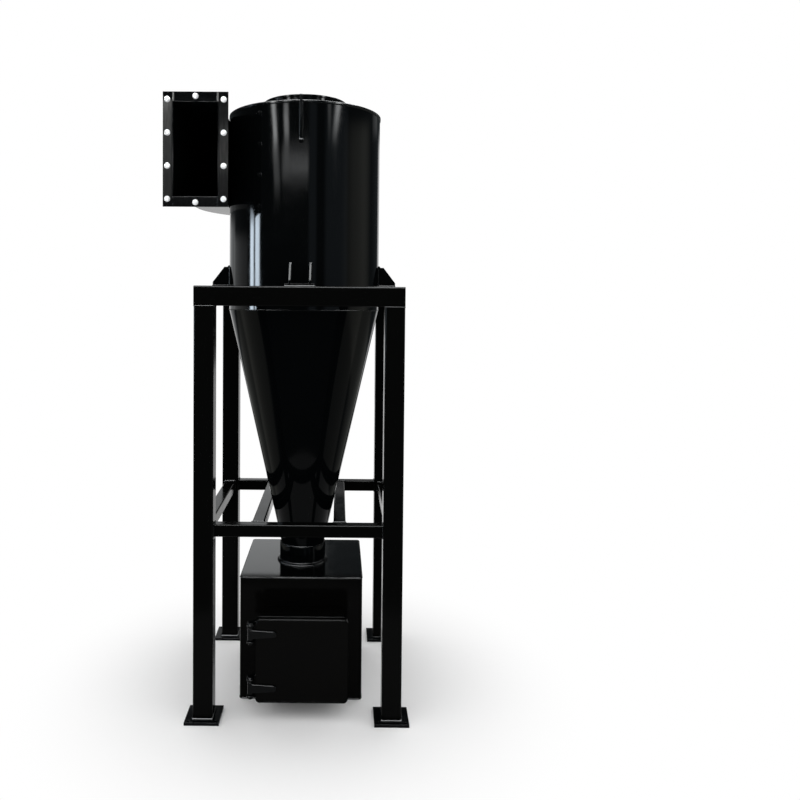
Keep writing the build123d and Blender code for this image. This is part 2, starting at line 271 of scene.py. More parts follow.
def close_material(tree, inputs):
    """The end of each material of the object: one shader with the given inputs."""
    shader = add_node(tree, "ShaderNodeBsdfPrincipled", inputs)
    add_node(tree, "ShaderNodeOutputMaterial", {0: shader.outputs[0]})


def noise(tree, place, scale, detail):
    inputs = {"Vector": place, "Scale": scale, "Detail": detail}
    return add_node(tree, "ShaderNodeTexNoise", inputs).outputs[0]


def cloudy(tree, place, scale, detail, span):
    """A value that drifts between the two ends of a span, in soft clouds."""
    return remap(tree, noise(tree, place, scale, detail), *NOISE_MIDDLE, *span)


def bump(tree, height, strength, depth, normal=None):
    """A pattern of heights that tilts the surface, on top of the tilt that it already has."""
    inputs = {"Strength": strength, "Distance": depth, "Height": height}
    if normal is not None:
        inputs["Normal"] = normal
    return add_node(tree, "ShaderNodeBump", inputs).outputs[0]


print("noise between", *NOISE_MIDDLE, "is spread over the range that a pattern needs")

# %% [markdown]
# The floor is a round of pale matt paper that takes a soft shadow. Towards its rim it fades into
# the white of the backdrop, so no horizon line crosses the picture. It stops short of the camera,
# and so the paint mirrors the dim room from about waist height upwards, which keeps the black
# deep.

# %% Floor
FLOOR_RADIUS = 1.6
FLOOR_SIDES = 96
FLOOR_COLOUR = (0.95, 0.95, 0.95, 1)
FADE_START = 0.4
FADE_END = 1.25


def floor_material():
    material, tree, place = new_material("pale_floor")
    distance = add_node(tree, "ShaderNodeVectorMath", {0: place}, operation="LENGTH")
    far = remap(tree, distance.outputs["Value"], FADE_START, FADE_END, **SOFT)
    rays = add_node(tree, "ShaderNodeLightPath").outputs
    direct = math_node(tree, "MAXIMUM", rays["Is Camera Ray"], rays["Is Transmission Ray"])
    direct = math_node(tree, "MAXIMUM", direct, rays["Is Glossy Ray"])
    fade = math_node(tree, "MULTIPLY", far, direct)
    matt = add_node(tree, "ShaderNodeBsdfDiffuse", {"Color": FLOOR_COLOUR}).outputs[0]
    white = add_node(tree, "ShaderNodeEmission", {"Color": WHITE, "Strength": 1}).outputs[0]
    mix = add_node(tree, "ShaderNodeMixShader", {0: fade, 1: matt, 2: white})
    add_node(tree, "ShaderNodeOutputMaterial", {0: mix.outputs[0]})
    return material


def build_floor():
    rim = [(FLOOR_RADIUS * math.cos(turn), FLOOR_RADIUS * math.sin(turn), 0)
           for turn in (2 * math.pi * side / FLOOR_SIDES for side in range(FLOOR_SIDES))]
    mesh = bpy.data.meshes.new("floor")
    mesh.from_pydata(rim, [], [tuple(range(FLOOR_SIDES))])
    mesh.materials.append(floor_material())
    floor = bpy.data.objects.new("floor", mesh)
    bpy.context.scene.collection.objects.link(floor)


build_floor()
print("floor across, in metres:", 2 * FLOOR_RADIUS)

# %% [markdown]
# The paint is a gloss enamel sprayed on sheet and tube. Under a lamp it shows three scales: sheet
# that isn't quite flat bends long reflections, the sprayed film has a fine orange peel, and the
# gloss itself varies a little where the film is thin. The Bevel node rounds the look of each
# edge, as paint does. Deep black keeps its specular level low, so that pale things mirrored
# head-on stay dark in it, while at a glancing angle the surface still turns bright.

# %% Gloss black paint
FILM_SCALE, FILM_DETAIL = 9, 3
WAVE_SCALE, WAVE_DETAIL, WAVE_STRENGTH = 5, 1, 1
PEEL_SCALE, PEEL_DETAIL, PEEL_STRENGTH, PEEL_DEPTH = 420, 1, 0.3, 0.00006
BEVEL_SAMPLES = 4


def paint_material(name, colour, gloss, specular, edge_radius, sheet_wave):
    """Gloss paint. Gloss is the range of its roughness, and sheet_wave the depth of the waves.
    The colour is a plain one, or a rule that makes it from the tree and the place."""
    material, tree, place = new_material(name)
    edge = add_node(tree, "ShaderNodeBevel", {"Radius": edge_radius}, samples=BEVEL_SAMPLES)
    wave = noise(tree, place, WAVE_SCALE, WAVE_DETAIL)
    sheet = bump(tree, wave, WAVE_STRENGTH, sheet_wave, edge.outputs[0])
    peel = noise(tree, place, PEEL_SCALE, PEEL_DETAIL)
    close_material(tree, {
        "Base Color": colour(tree, place) if callable(colour) else colour,
        "Roughness": cloudy(tree, place, FILM_SCALE, FILM_DETAIL, gloss),
        "Specular IOR Level": specular,
        "Normal": bump(tree, peel, PEEL_STRENGTH, PEEL_DEPTH, sheet),
    })
    return material


PAINT_COLOUR = (0.0011, 0.0014, 0.0016, 1)
FOLDED_COLOUR = (0.0018, 0.0018, 0.0017, 1)
TUBE_COLOUR = (0.0017, 0.0018, 0.0017, 1)
PAINTS = {
    # name: colour, roughness range, specular level, edge radius, depth of the sheet's waves
    "sheet_paint": (PAINT_COLOUR, (0.05, 0.1), 0.1, 0.0025, 0.0005),
    "cone_paint": (PAINT_COLOUR, (0.05, 0.1), 0.045, 0.0025, 0.0005),
    "duct_paint": (PAINT_COLOUR, (0.05, 0.1), 0.1, 0.0008, 0.0003),
    "roof_paint": (PAINT_COLOUR, (0.08, 0.14), 0.25, 0.004, 0.0002),
    "lid_paint": (PAINT_COLOUR, (0.07, 0.12), 0.1, 0.006, 0.0003),
    "folded_paint": (FOLDED_COLOUR, (0.08, 0.15), 0.023, 0.009, 0.0004),
    "tube_paint": (TUBE_COLOUR, (0.1, 0.18), 0.024, 0.0025, 0.0002),
    "plate_paint": (PAINT_COLOUR, (0.12, 0.22), 0.04, 0.0025, 0.0001),
    "hinge_paint": (PAINT_COLOUR, (0.12, 0.22), 0.07, 0.005, 0.0001),
    "weld_paint": (PAINT_COLOUR, (0.14, 0.3), 0.12, 0.0005, 0.0002),
}
paints = {name: paint_material(name, *values) for name, values in PAINTS.items()}
print("paints:", ", ".join(paints))

# %% [markdown]
# The side bars of the inlet flange are duller than the rest, and their colour is a dark grey:
# partly paint worn by handling and a gasket, and partly a painted sheen. The left bar is palest
# at its top and the right bar around its middle. All of it is found from the place on the object,
# and noise stretched along the bar makes it uneven. The two upper corner joints have a duller
# finish, and their pale colour is a painted highlight.

# %% Worn paint, painted sheen and painted highlights on the flange
FLANGE_LEG = 0.042
# Pale grey of the side bars: partly worn paint, partly painted sheen.
WORN_AND_SHEEN_COLOUR = (0.15, 0.15, 0.147, 1)
# Pale colour of the two upper corner welds: a painted highlight.
PAINTED_HIGHLIGHT_COLOUR = (0.16, 0.16, 0.157, 1)
WEAR_AND_SHEEN_START, WEAR_AND_SHEEN_FULL = 0.002, 0.01                 # metres outwards from the duct's edge
WEAR_AND_SHEEN_END_BLUR = 0.015                               # metres into the corners
STREAK_STRETCH = (90, 90, 14)                       # streaks per metre: fine across the bar
STREAK_SCALE, STREAK_DETAIL, STREAK_SPAN = 1, 3, (0.6, 1.1)
# How pale each bar is by its height, which is partly wear and partly painted sheen.
LEFT_POWER, LEFT_GAIN, LEFT_BASE = 4, 0.9, 0.13     # wear by the share of the bar's height
RIGHT_LOW, RIGHT_HIGH, RIGHT_BLUR = 0.42, 0.62, 0.2
RIGHT_GAIN, RIGHT_BASE = 0.14, 0.05
flange_low, flange_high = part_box("inlet_flange")


def on_side_bars(tree, axes, middle):
    """1 on the two side bars of the flange, between its corner joints."""
    half_duct = (flange_high.x - flange_low.x) / 2 - FLANGE_LEG
    from_middle = math_node(tree, "ABSOLUTE", math_node(tree, "SUBTRACT", axes["X"], middle))
    beside = remap(tree, from_middle, half_duct + WEAR_AND_SHEEN_START, half_duct + WEAR_AND_SHEEN_FULL)
    between = soft_window(tree, axes["Z"], flange_low.z + FLANGE_LEG,
                          flange_high.z - FLANGE_LEG, WEAR_AND_SHEEN_END_BLUR)
    return math_node(tree, "MULTIPLY", beside, between)


def wear_and_sheen_by_height(tree, axes, middle):
    """How much wear and painted sheen the bar that a place lies on has at that height."""
    height = remap(tree, axes["Z"], flange_low.z, flange_high.z)
    steep = math_node(tree, "POWER", height, LEFT_POWER)
    left_bar = math_node(tree, "MULTIPLY_ADD", steep, LEFT_GAIN, LEFT_BASE)
    hump = soft_window(tree, height, RIGHT_LOW, RIGHT_HIGH, RIGHT_BLUR)
    right_bar = math_node(tree, "MULTIPLY_ADD", hump, RIGHT_GAIN, RIGHT_BASE)
    on_left = math_node(tree, "LESS_THAN", axes["X"], middle)
    bars = {"Factor": on_left, "A": right_bar, "B": left_bar}
    return add_node(tree, "ShaderNodeMix", bars).outputs["Result"]


# The flange's colour: pale grey on its side bars, partly worn paint and partly painted sheen.
def worn_and_sheen_colour(tree, place):
    axes = add_node(tree, "ShaderNodeSeparateXYZ", {0: place}).outputs
    middle = (flange_low.x + flange_high.x) / 2
    stretched = add_node(tree, "ShaderNodeVectorMath", {0: place, 1: STREAK_STRETCH},
                         operation="MULTIPLY").outputs[0]
    streaks = cloudy(tree, stretched, STREAK_SCALE, STREAK_DETAIL, STREAK_SPAN)
    streaked = math_node(tree, "MULTIPLY", on_side_bars(tree, axes, middle), streaks)
    worn_and_sheen = math_node(tree, "MULTIPLY", streaked, wear_and_sheen_by_height(tree, axes, middle))
    colours = {"Factor": worn_and_sheen, "A": PAINT_COLOUR, "B": WORN_AND_SHEEN_COLOUR}
    return add_node(tree, "ShaderNodeMix", colours, data_type="RGBA").outputs["Result"]


# The flange's side bars carry worn paint and a painted sheen in their colour.
paints["flange_paint"] = paint_material("flange_paint", worn_and_sheen_colour, gloss=(0.12, 0.22),
                                        specular=0.06, edge_radius=0.0008, sheet_wave=0.0001)
# The two upper corner welds are painted pale, as a painted highlight.
paints["painted_highlight_weld"] = paint_material("painted_highlight_weld", PAINTED_HIGHLIGHT_COLOUR, gloss=(0.3, 0.4),
                                       specular=0.2, edge_radius=0.0005, sheet_wave=0.0002)
print("paints with those of the flange:", len(paints))

# %% [markdown]
# The seal behind the door is a strip of black foam rubber. It is matt, with fine open pores, so
# it gets a rough shader with a little bump from a cell pattern and no gloss to speak of.

# %% Black rubber
RUBBER_COLOUR = (0.016, 0.016, 0.017, 1)
RUBBER_SPECULAR = 0.3
RUBBER_ROUGHNESS = (0.7, 0.9)
PATCH_SCALE, PATCH_DETAIL = 60, 2
PORE_SCALE, PORE_STRENGTH, PORE_DEPTH = 900, 0.6, 0.0004


def rubber_material():
    material, tree, place = new_material("seal_rubber")
    cells = add_node(tree, "ShaderNodeTexVoronoi", {"Vector": place, "Scale": PORE_SCALE})
    close_material(tree, {
        "Base Color": RUBBER_COLOUR,
        "Roughness": cloudy(tree, place, PATCH_SCALE, PATCH_DETAIL, RUBBER_ROUGHNESS),
        "Specular IOR Level": RUBBER_SPECULAR,
        "Normal": bump(tree, cells.outputs["Distance"], PORE_STRENGTH, PORE_DEPTH),
    })
    return material


seal_rubber = rubber_material()
print("rubber has", len(seal_rubber.node_tree.nodes), "nodes")

# %% [markdown]
# The bolts in the inlet flange are zinc flake coated steel, the only pale thing on the object.
# That coat is a silvery grey with a dull, slightly blotchy sheen, so it is partly metallic and
# rough.

# %% Zinc on the bolts
ZINC_COLOUR = (0.86, 0.87, 0.88, 1)
ZINC_METALLIC = 0.2
ZINC_ROUGHNESS = (0.3, 0.5)
ZINC_EDGE = 0.0006
BLOTCH_SCALE, BLOTCH_DETAIL = 160, 4
FLAKE_SCALE, FLAKE_DETAIL, FLAKE_STRENGTH, FLAKE_DEPTH = 1500, 2, 0.4, 0.00005


def zinc_material():
    material, tree, place = new_material("bolt_zinc")
    edge = add_node(tree, "ShaderNodeBevel", {"Radius": ZINC_EDGE}, samples=BEVEL_SAMPLES)
    flakes = noise(tree, place, FLAKE_SCALE, FLAKE_DETAIL)
    close_material(tree, {
        "Base Color": ZINC_COLOUR,
        "Metallic": ZINC_METALLIC,
        "Roughness": cloudy(tree, place, BLOTCH_SCALE, BLOTCH_DETAIL, ZINC_ROUGHNESS),
        "Normal": bump(tree, flakes, FLAKE_STRENGTH, FLAKE_DEPTH, edge.outputs[0]),
    })
    return material


bolt_zinc = zinc_material()
print("zinc has", len(bolt_zinc.node_tree.nodes), "nodes")

# %% [markdown]
# Each finish goes on the pieces that have it on the real object: rolled sheet is the glossiest,
# tube is a little duller, and cut plate duller again. Folded sheet has the roundest edges. A
# piece takes the paint of the first row whose words its name starts with, and plain sheet has no
# row.

# %% The finishes on the frame's pieces
FINISHES = [
    ("inlet_flange", "flange_paint"),
    (("post_", "top_rail_", "mid_rail_", "cradle_beam_"), "tube_paint"),
    (("foot_plate_", "support_lug_", "door_frame"), "plate_paint"),
    ("hinge_", "hinge_paint"),
    (("roof_plate", "lifting_lug_"), "roof_paint"),
    (("cone_shell", "neck_sleeve", "box_collar", "inlet_bottom_plate"), "cone_paint"),
    ("inlet_", "duct_paint"),
    ("dust_box_top", "lid_paint"),
    ("dust_", "folded_paint"),
]


def finish_of(name):
    if name == "door_gasket":
        return seal_rubber
    for start, paint in FINISHES:
        if name.startswith(start):
            return paints[paint]
    return paints["sheet_paint"]


for name, node in nodes.items():
    node.data.materials.clear()
    node.data.materials.append(finish_of(name))
print("pieces with a finish:", len(nodes))

# %% [markdown]
# Everything that repeats or follows a line is made by Geometry Nodes. The recipe is always the
# same: a plain mesh holds the points or the line, a tree turns it into metal, and the result is
# kept as an ordinary mesh. The last helper does the keeping: it sets the tree's inputs by their
# identifiers before anything is evaluated, reads the evaluated mesh, and drops the modifier and
# its carrier. All that is made here is fastened to the body that stands still.

# %% Helpers for Geometry Nodes
FIXED_BODY = "separator"


def new_tree(name, inputs):
    """A Geometry Nodes tree with a geometry input and output and the given named inputs."""
    tree = bpy.data.node_groups.new(name, "GeometryNodeTree")
    for way in ("INPUT", "OUTPUT"):
        tree.interface.new_socket("Geometry", in_out=way, socket_type="NodeSocketGeometry")
    for label, kind in inputs.items():
        tree.interface.new_socket(label, in_out="INPUT", socket_type="NodeSocket" + kind)
    return tree, tree.nodes.new("NodeGroupInput").outputs


def close_tree(tree, geometry, material):
    """The end that every tree has: real geometry in place of instances, then its material."""
    real = add_node(tree, "GeometryNodeRealizeInstances", {0: geometry})
    done = add_node(tree, "GeometryNodeSetMaterial",
                    {0: real.outputs[0], "Material": material})
    add_node(tree, "NodeGroupOutput", {0: done.outputs[0]})


def keep_result(name, tree, points, edges, values, body):
    """Runs a tree on a mesh of points and edges, and keeps what comes out as a piece."""
    carrier_mesh = bpy.data.meshes.new(name + "_lines")
    carrier_mesh.from_pydata([tuple(point) for point in points], edges, [])
    carrier = bpy.data.objects.new(name + "_lines", carrier_mesh)
    bpy.context.scene.collection.objects.link(carrier)
    modifier = carrier.modifiers.new("tree", "NODES")
    modifier.node_group = tree
    identifiers = {item.name: item.identifier for item in tree.interface.items_tree
                   if item.in_out == "INPUT"}
    for label, value in values.items():
        modifier[identifiers[label]] = value
    shaped = carrier.evaluated_get(bpy.context.evaluated_depsgraph_get())
    mesh = bpy.data.meshes.new_from_object(shaped)
    mesh.name = name
    carrier.modifiers.remove(modifier)
    bpy.data.objects.remove(carrier)
    piece = bpy.data.objects.new(name, mesh)
    bpy.context.scene.collection.objects.link(piece)
    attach(piece, body)
    mesh.calc_loop_triangles()
    print(name, "has", len(mesh.loop_triangles), "triangles")
    return piece


print("new pieces are fastened to:", FIXED_BODY)

# %% [markdown]
# A weld bead is a thin ridge of metal with scale-like ripples, laid along a joint. On this object
# the beads are sunk half into the corner that they fill. The tree turns a line into a curve, cuts
# it into short steps, swells and pinches a small round profile with a sine wave along its length,
# and adds a little unevenness from noise with a fixed seed, because no welder's hand is perfectly
# steady.

# %% Weld beads: the tree
RIPPLE_PITCH = 0.0055
RIPPLE_DEPTH = 0.13
UNEVENNESS = 0.18
UNEVEN_SCALE = 45
STEPS_PER_RIPPLE = 3
BEAD_SIDES = 7


def weld_tree():
    tree, given = new_tree("weld_bead", {"Bead radius": "Float", "Ripple pitch": "Float",
                                         "Seed": "Float", "Paint": "Material"})
    pitch = given["Ripple pitch"]
    line = add_node(tree, "GeometryNodeMeshToCurve", {0: given["Geometry"]})
    step = math_node(tree, "DIVIDE", pitch, STEPS_PER_RIPPLE)
    steps = add_node(tree, "GeometryNodeResampleCurve", {0: line.outputs[0], "Length": step},
                     mode="LENGTH")
    along = add_node(tree, "GeometryNodeSplineParameter").outputs["Length"]
    phase = math_node(tree, "MULTIPLY", math_node(tree, "DIVIDE", along, pitch), 2 * math.pi)
    ripple = math_node(tree, "MULTIPLY_ADD", math_node(tree, "SINE", phase), RIPPLE_DEPTH, 1)
    place = add_node(tree, "GeometryNodeInputPosition").outputs[0]
    hand = add_node(tree, "ShaderNodeTexNoise",
                    {"Vector": place, "W": given["Seed"], "Scale": UNEVEN_SCALE},
                    noise_dimensions="4D").outputs[0]
    off_middle = math_node(tree, "SUBTRACT", hand, 0.5)
    uneven = math_node(tree, "MULTIPLY_ADD", off_middle, 2 * UNEVENNESS, 1)
    swell = math_node(tree, "MULTIPLY", ripple, uneven)
    profile = add_node(tree, "GeometryNodeCurvePrimitiveCircle",
                       {"Resolution": BEAD_SIDES, "Radius": given["Bead radius"]})
    bead = add_node(tree, "GeometryNodeCurveToMesh", {
        0: steps.outputs[0], 1: profile.outputs[0], "Scale": swell, "Fill Caps": True})
    smooth = add_node(tree, "GeometryNodeSetShadeSmooth", {0: bead.outputs[0]})
    close_tree(tree, smooth.outputs[0], given["Paint"])
    return tree


weld_bead = weld_tree()
print("the weld tree has", len(weld_bead.nodes), "nodes")

# %% [markdown]
# Each piece of weld has its own bead, thick where it carries load and thin where it only seals,
# and its own seed. A line of weld is a list of points and whether it closes on itself. The shapes
# that come up often are an arc, the outline of a rectangle, and both ends of a tube.

# %% Weld beads: their sizes and lines
BEADS = {
    # name: radius of the bead, seed of its unevenness
    "roof_weld": (0.0028, 1),
    "cone_weld": (0.0022, 2),
    "neck_weld": (0.003, 3),
    "collar_weld": (0.0048, 18),
    "outlet_weld": (0.004, 4),
    "inlet_weld": (0.0022, 5),
    "inlet_to_barrel_weld": (0.004, 6),
    "flange_upper_weld": (0.0042, 20),
    "flange_lower_weld": (0.002, 7),
    "flange_back_weld": (0.0035, 8),
    "foot_weld": (0.0055, 9),
    "head_weld": (0.0016, 10),
    "brace_weld": (0.0032, 11),
    "gusset_weld": (0.0035, 12),
    "gusset_cap_weld": (0.0065, 17),
    "pad_weld": (0.0045, 13),
    "lifting_lug_weld": (0.0042, 14),
    "lifting_lug_foot_weld": (0.0085, 19),
    "box_weld": (0.0016, 15),
    "door_neck_weld": (0.0016, 16),
}


X_AXIS, Y_AXIS, Z_AXIS = 0, 1, 2


def lay_beads(name, lines, finish="weld_paint"):
    """One piece of weld along several lines."""
    points = []
    edges = []
    for line, closed in lines:
        first = len(points)
        points += line
        edges += [(first + step, first + step + 1) for step in range(len(line) - 1)]
        if closed:
            edges.append((first + len(line) - 1, first))
    radius, seed = BEADS[name]
    values = {"Bead radius": radius, "Ripple pitch": RIPPLE_PITCH, "Seed": seed,
              "Paint": paints[finish]}
    piece = keep_result(name, weld_bead, points, edges, values, FIXED_BODY)


def on_circle(centre, radius, degrees):
    turn = math.radians(degrees)
    return centre[0] + radius * math.cos(turn), centre[1] + radius * math.sin(turn)


def arc(radius, z, start=0, end=360, centre=(0, 0), sides=120):
    """An arc round a vertical axis, from one angle to another in degrees from +X."""
    closed = abs(end - start) == 360
    count = sides if closed else sides + 1
    turns = [start + (end - start) * step / sides for step in range(count)]
    return [(*on_circle(centre, radius, turn), z) for turn in turns], closed


def across(axis, place, flat_points):
    """A closed line through flat points, square to an axis at a place on it."""
    return [tuple(point[:axis]) + (place,) + tuple(point[axis:]) for point in flat_points], True


def rectangle(low, high):
    return [(low[0], low[1]), (high[0], low[1]), (high[0], high[1]), (low[0], high[1])]


def tube_ends(name, axis):
    """The lines round both ends of a tube of the frame that runs along an axis."""
    low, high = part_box(name)
    flat_low, flat_high = ([corner[other] for other in range(3) if other != axis]
                           for corner in (low, high))
    return [across(axis, end[axis], rectangle(flat_low, flat_high)) for end in (low, high)]


print("pieces of weld to lay:", len(BEADS))

# %% [markdown]
# The round joints first: roof to barrel, barrel to cone, cone to neck, collar to box, and the
# outlet where it stands in the roof. Each radius and height is read from the frame, so the beads
# stay on their joints if the object is made in another size.

# %% Weld beads: round joints
OUTLET_RIM = 0.006
CONE_TIP_INSET = 0.0045
CONE_SEAM_SINK = 0.0015
SEAM_SHIFT = 0.001
SMALL_ROUND = 60
MIDDLE_ROUND = 90
barrel_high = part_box("barrel_shell")[1]
roof_low, roof_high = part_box("roof_plate")
cone_low, cone_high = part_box("cone_shell")
neck_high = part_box("neck_sleeve")[1]
collar_low, collar_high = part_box("box_collar")
outlet_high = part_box("outlet_tube")[1]

barrel_radius = barrel_high.x
outlet_radius = outlet_high.x - OUTLET_RIM
lay_beads("roof_weld", [arc(barrel_radius, roof_low.z - SEAM_SHIFT)])
lay_beads("cone_weld", [arc(barrel_radius - CONE_SEAM_SINK, cone_high.z)])
lay_beads("neck_weld", [
    arc(neck_high.x - CONE_TIP_INSET, cone_low.z + SEAM_SHIFT, sides=SMALL_ROUND),
    arc(neck_high.x, collar_high.z, sides=SMALL_ROUND),
])
lay_beads("collar_weld", [arc(collar_high.x, collar_low.z + SEAM_SHIFT, sides=SMALL_ROUND)])
lay_beads("outlet_weld", [arc(outlet_radius, roof_high.z, sides=MIDDLE_ROUND)])

# %% [markdown]
# The spiral inlet is a box section that winds into the barrel, so its seams are spirals too. Each
# is two quarter turns whose centres step towards the end of the winding, the same rule by which
# the sheet was rolled, after a straight run along the duct. The step is what brings the spiral
# back to the barrel at the end of the second quarter.

# %% Weld beads: the spiral inlet
SCROLL_REACH = 0.152
SCROLL_SIDES = 40
LEFT, REAR = 180, 90
SCROLL_END = 3
BOTTOM_SEAM_START, BOTTOM_SEAM_END = 186, 12
duct_low, duct_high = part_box("inlet_scroll_wall")
scroll_start = barrel_radius + SCROLL_REACH
scroll_gain = scroll_start ** 2 - barrel_radius ** 2
scroll_step = (3 * scroll_start - math.sqrt(9 * scroll_start ** 2 - 10 * scroll_gain)) / 10


def scroll_seam(z):
    """The outer edge of the spiral duct at a height, from the flange round to the barrel."""
    first = arc(scroll_start - scroll_step, z, LEFT, REAR,
                (-scroll_step, 0), SCROLL_SIDES)[0]
    second = arc(scroll_start - 2 * scroll_step, z, REAR, SCROLL_END,
                 (-scroll_step, scroll_step), SCROLL_SIDES)[0]
    return [(duct_low.x, flange_high.y, z)] + first + second[1:], False


lay_beads("inlet_weld", [scroll_seam(duct_high.z), scroll_seam(duct_low.z)])
bottom_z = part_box("inlet_bottom_plate")[0].z
lay_beads("inlet_to_barrel_weld",
          [arc(barrel_radius, bottom_z, BOTTOM_SEAM_START, BOTTOM_SEAM_END)])

# %% [markdown]
# The flange is an angle frame. Its corners are butt joints, and a fillet runs round the back of
# it where its inner leg meets the duct. The beads on the two upper joints are painted pale, as a
# painted highlight.

# %% Weld beads: the inlet flange
DUCT_WALL = 0.003
SEAM_DEPTH = 0.0012
UPPER_SEAM_START = 0.004
UPPER_SEAM_INSET = 0.003
LOWER_SEAM_INSET = 0.002
mouth_left = flange_low.x + FLANGE_LEG
mouth_right = flange_high.x - FLANGE_LEG
mouth_bottom = flange_low.z + FLANGE_LEG
mouth_top = flange_high.z - FLANGE_LEG


def corner_seams(low, high):
    """Two upright joints across a bar of the flange, between two heights."""
    y = flange_low.y + SEAM_DEPTH
    return [([(x, y, low), (x, y, high)], False) for x in (mouth_left, mouth_right)]


upper_seams = corner_seams(mouth_top + UPPER_SEAM_START, flange_high.z - UPPER_SEAM_INSET)
# These two beads are painted pale: a painted highlight.
lay_beads("flange_upper_weld", upper_seams, "painted_highlight_weld")
lay_beads("flange_lower_weld", corner_seams(flange_low.z + LOWER_SEAM_INSET, mouth_bottom))
duct_outline = rectangle((mouth_left - DUCT_WALL, mouth_bottom - DUCT_WALL),
                         (mouth_right + DUCT_WALL, mouth_top + DUCT_WALL))
lay_beads("flange_back_weld", [across(Y_AXIS, flange_high.y, duct_outline)])

# %% [markdown]
# On the stand the tubes are welded all round wherever one ends on another. Four posts stand on
# foot plates and carry the top rails, and the thinner mid rails run between them.

# %% Weld beads: the stand
foot_seams = []
head_seams = []
for corner in ("front_left", "front_right", "rear_left", "rear_right"):
    foot, head = tube_ends("post_" + corner, Z_AXIS)
    foot_seams.append(foot)
    head_seams.append(head)
for side in ("left", "right"):
    head_seams += tube_ends("top_rail_" + side, Y_AXIS)
lay_beads("foot_weld", foot_seams)
lay_beads("head_weld", head_seams)

brace_seams = []
for side in ("left", "right"):
    brace_seams += tube_ends("mid_rail_" + side, Y_AXIS)
    brace_seams += tube_ends("cradle_beam_" + side, Y_AXIS)
for side in ("front", "rear"):
    brace_seams += tube_ends("mid_rail_" + side, X_AXIS)
lay_beads("brace_weld", brace_seams)

# %% [markdown]
# Each support lug has two gusset plates on a pad. The gussets are welded down both sides to the
# barrel and along the pad, with a blob where the bead ends at the top. The pad is welded round
# its edge to the rail. One lug is described, and a turn about the axis places it on each side.

# %% Weld beads: the support lugs
GUSSET_SPACING = 0.082
GUSSET_THICKNESS = 0.008
GUSSET_SEAM_RISE = 0.004
GUSSET_SEAM_INSET = 0.004
CAP_LIFT = 0.002
PAD_THICKNESS = 0.010
PAD_WIDTH = 0.120
LUG_TURNS = (-90, 0, 90, 180)
lug_low, lug_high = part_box("support_lug_right")
pad_top = lug_low.z + PAD_THICKNESS
pad_y = PAD_WIDTH / 2


def turned(points, degrees):
    """An open line of the right-hand lug, turned to another side of the barrel."""
    turn = Matrix.Rotation(math.radians(degrees), 3, "Z")
    return [tuple(turn @ Vector(point)) for point in points], False


def on_barrel(y):
    """How far out the barrel's wall is, at a distance beside its middle."""
    return math.sqrt(barrel_radius ** 2 - y ** 2)


gusset_seams = []
gusset_caps = []
for degrees in LUG_TURNS:
    for gusset in (-1, 1):
        faces = [gusset * GUSSET_SPACING / 2 + face * GUSSET_THICKNESS / 2 for face in (-1, 1)]
        for y in faces:
            down_and_out = [(on_barrel(y), y, lug_high.z + GUSSET_SEAM_RISE),
                            (on_barrel(y), y, pad_top),
                            (lug_high.x - GUSSET_SEAM_INSET, y, pad_top)]
            gusset_seams.append(turned(down_and_out, degrees))
        cap_x = on_barrel(max(abs(y) for y in faces)) + CAP_LIFT
        gusset_caps.append(turned([(cap_x, y, lug_high.z) for y in faces], degrees))
pad_edge = [(barrel_radius, -pad_y, lug_low.z), (lug_high.x, -pad_y, lug_low.z),
            (lug_high.x, pad_y, lug_low.z), (barrel_radius, pad_y, lug_low.z)]
lay_beads("gusset_weld", gusset_seams)
lay_beads("gusset_cap_weld", gusset_caps)
lay_beads("pad_weld", [turned(pad_edge, degrees) for degrees in LUG_TURNS])

# %% [markdown]
# The lifting lug carries the whole weight when the object is craned into place, so its weld is
# heavy: it runs down both sides of the plate and round under its foot, where a thick blob sits.

# %% Weld beads: the lifting lugs
LIFT_THICKNESS = 0.010
LIFT_SEAM_INSET = 0.004
half_lift = LIFT_THICKNESS / 2
front_foot_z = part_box("lifting_lug_front")[0].z
rear_low, rear_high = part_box("lifting_lug_rear")


def round_foot(y, tip, foot):
    """An open line from the tip of a plate down one side of it, under its foot and back up.
    The tip is a place in y and z, and the line meets the foot at y and at the foot's height."""
    return [(-half_lift, *tip), (-half_lift, y, foot), (half_lift, y, foot),
            (half_lift, *tip)], False


front_tip = (-barrel_radius, barrel_high.z - LIFT_SEAM_INSET)
rear_tip = (barrel_radius + LIFT_SEAM_INSET, rear_low.z)
lay_beads("lifting_lug_weld", [round_foot(-barrel_radius, front_tip, front_foot_z),
                               round_foot(rear_high.y, rear_tip, rear_low.z)])
blob = BEADS["lifting_lug_foot_weld"][0]
blob_line = [(x, -barrel_radius - blob, front_foot_z + SEAM_SHIFT) for x in (-blob, blob)]
lay_beads("lifting_lug_foot_weld", [(blob_line, False)])

# %% [markdown]
# The dust box is folded sheet with its top and floor welded in. Its seams are thin, and they
# follow its round corners. The square neck on its front is welded to the frame that the door
# shuts on.

# %% Weld beads: the dust box
BOX_BEND = 0.012
NECK_BEND = 0.008
BEND_SIDES = 6
box_low, box_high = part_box("dust_box_shell")
door_neck_low, door_neck_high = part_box("dust_box_neck")
door_frame_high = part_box("door_frame")[1]


def rounded(low, high, bend):
    """The flat outline of a rectangle with round corners."""
    insets = rectangle((low[0] + bend, low[1] + bend), (high[0] - bend, high[1] - bend))
    centres = [insets[2], insets[3], insets[0], insets[1]]
    return [on_circle(centre, bend, 90 * quarter + 90 * step / BEND_SIDES)
            for quarter, centre in enumerate(centres) for step in range(BEND_SIDES + 1)]


box_outline = rounded(box_low.xy, box_high.xy, BOX_BEND)
lay_beads("box_weld", [across(Z_AXIS, z, box_outline) for z in (box_high.z, box_low.z)])
neck_outline = rounded((door_neck_low.x, door_neck_low.z),
                       (door_neck_high.x, door_neck_high.z), NECK_BEND)
lay_beads("door_neck_weld", [across(Y_AXIS, door_frame_high.y, neck_outline)])

